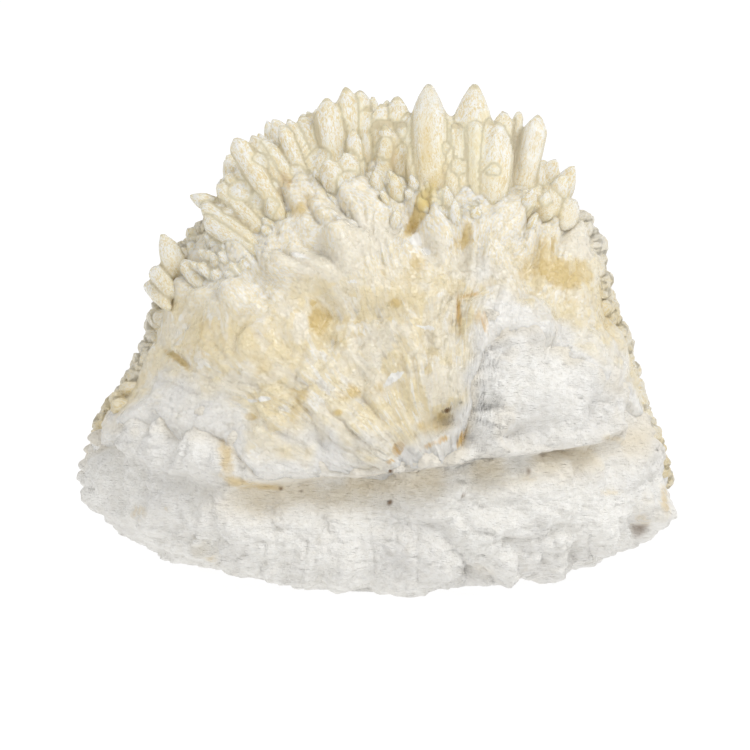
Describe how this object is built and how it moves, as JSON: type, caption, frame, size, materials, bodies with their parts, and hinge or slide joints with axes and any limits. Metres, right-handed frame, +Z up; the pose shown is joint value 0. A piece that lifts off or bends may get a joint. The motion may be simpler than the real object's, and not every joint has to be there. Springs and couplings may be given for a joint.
{
  "type": "calcite crystal",
  "caption": "Mound of honey calcite crystals fanning out over a lumpy white chalky matrix, resting on a small flat spot.",
  "frame": {"origin": "centre of the bounding box at the bottom, on the flat spot the stone rests on", "axes": "+X along the stone's width, +Y away from the broken face towards the crystal-covered back, +Z up through the crown of crystals"},
  "size_m": [0.1007, 0.0746, 0.0825],
  "materials": {
    "chalk": "matt, chalky and finely granular white crust with faint ochre stains",
    "honey_calcite": "glassy, translucent cream to honey calcite, milky where it is broken"
  },
  "bodies": {
    "root": {"white_matrix": "chalk", "calcite_crystals": "honey_calcite"}
  },
  "joints": []
}
